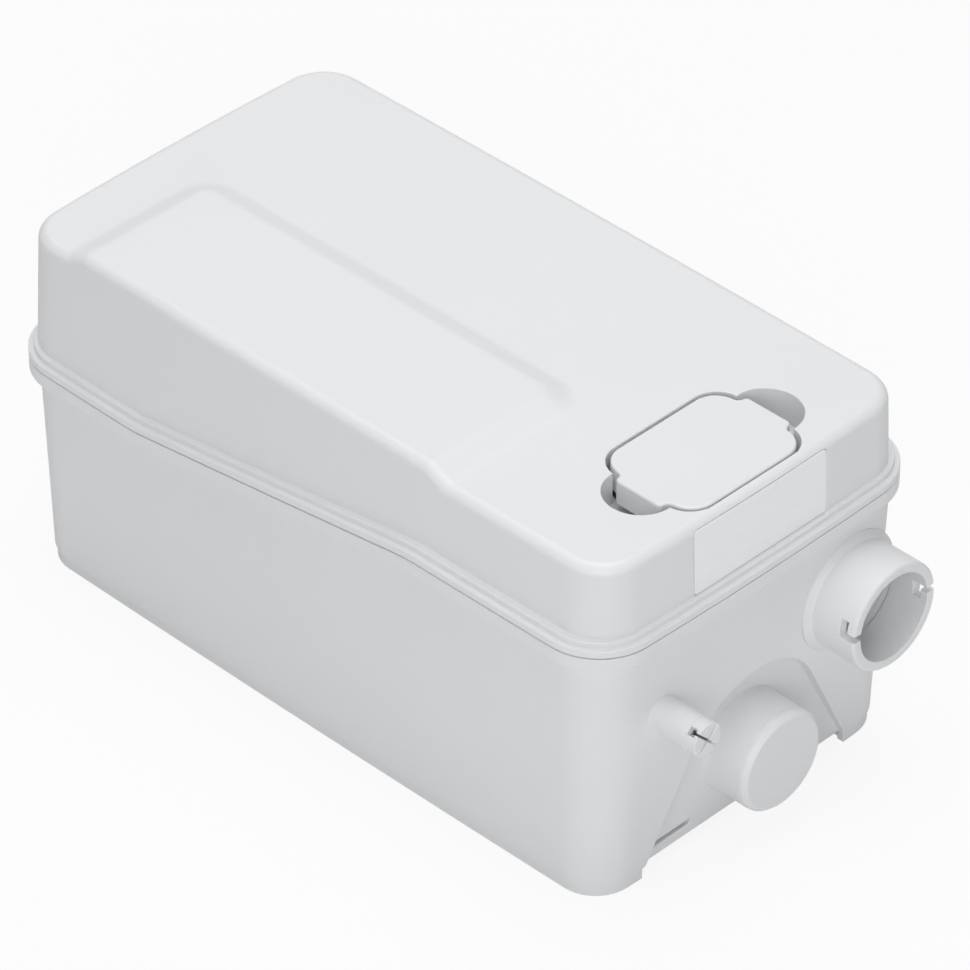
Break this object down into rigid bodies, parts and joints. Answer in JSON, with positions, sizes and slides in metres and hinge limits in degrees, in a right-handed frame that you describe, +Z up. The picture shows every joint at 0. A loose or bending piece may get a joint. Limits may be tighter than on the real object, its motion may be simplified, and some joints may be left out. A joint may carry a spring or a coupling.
{
  "type": "wastewater lifting station",
  "caption": "Floor-standing wastewater lifting station: moulded tank, raised-panel cover with service hatch, inlet spigot, discharge socket, vent stub and a pump inside.",
  "frame": {"origin": "middle of the tank's foot, on the floor", "axes": "+Z up, -Y towards the side with the ports, +X to the right seen from the ports"},
  "size_m": [0.1662, 0.3241, 0.1504],
  "materials": {
    "shell_plastic": "satin",
    "label_film": "satin",
    "vent_plastic": "satin",
    "black_rubber": "matt",
    "grey_plastic": "satin",
    "switch_plastic": "satin",
    "steel": "brushed",
    "bearing_steel": "polished",
    "cast_alloy": "as cast",
    "laminations": "oiled",
    "copper": "enamelled",
    "seal_ceramic": "lapped",
    "carbon": "porous",
    "box_plastic": "satin",
    "board_laminate": "satin",
    "component_plastic": "satin"
  },
  "bodies": {
    "tank": {"cap_screws": "steel", "carbon_filter": "carbon", "discharge_pipe": "grey_plastic", "filter_housing": "grey_plastic", "flap_pin": "steel", "foot_pads": "black_rubber", "housing_seal": "black_rubber", "level_contact": "switch_plastic", "level_tube": "grey_plastic", "lower_bearing": "bearing_steel", "motor_can": "steel", "motor_cap": "cast_alloy", "motor_flange": "cast_alloy", "outlet_socket": "shell_plastic", "pipe_seals": "black_rubber", "pump_base": "grey_plastic", "pump_housing": "grey_plastic", "pump_screws": "steel", "shaft_seal_seat": "seal_ceramic", "stator_core": "laminations", "stator_windings": "copper", "switch_base": "switch_plastic", "switch_cap": "switch_plastic", "switch_diaphragm": "black_rubber", "switch_spring": "steel", "tank": "shell_plastic", "upper_bearing": "bearing_steel", "valve_cover": "grey_plastic", "valve_housing": "shell_plastic", "valve_screws": "steel", "vent_insert": "vent_plastic"},
    "cover": {"cover": "shell_plastic", "cover_gasket": "black_rubber", "label_plate": "label_film", "controller_box": "box_plastic", "controller_lid": "box_plastic", "controller_board": "board_laminate", "controller_screws": "steel", "run_capacitor": "component_plastic", "relay": "component_plastic", "transformer": "laminations", "terminal_block": "component_plastic", "cable_gland": "box_plastic", "gland_nut": "box_plastic", "gland_seal": "black_rubber"},
    "hatch": {"hatch_lid": "shell_plastic", "hatch_seal": "black_rubber"},
    "rotor": {"motor_shaft": "steel", "rotor_core": "laminations", "rotor_rings": "cast_alloy", "impeller": "grey_plastic", "impeller_nut": "steel", "shaft_seal_ring": "seal_ceramic"},
    "flap": {"valve_flap": "grey_plastic", "flap_facing": "black_rubber"},
    "plunger": {"switch_plunger": "switch_plastic"}
  },
  "joints": [
    {"name": "cover_lift", "type": "slide", "parent": "tank", "child": "cover", "axis": [0, 0, 1], "range_m": [0, 0.15]},
    {"name": "hatch_lift", "type": "slide", "parent": "cover", "child": "hatch", "axis": [0, 0, 1], "range_m": [0, 0.05]},
    {"name": "pump_spin", "type": "hinge", "parent": "tank", "child": "rotor", "pos_m": [-0.036, 0.026, 0.08], "axis": [0, 0, 1], "continuous": true},
    {"name": "check_flap", "type": "hinge", "parent": "tank", "child": "flap", "pos_m": [0.0472, -0.1176, 0.0886], "axis": [-1, 0, 0], "range_deg": [0, 55]},
    {"name": "plunger_lift", "type": "slide", "parent": "tank", "child": "plunger", "axis": [0, 0, 1], "range_m": [0, 0.002], "stiffness_N_per_m": 250, "springref_m": -0.002, "deforming": ["switch_spring"]}
  ]
}
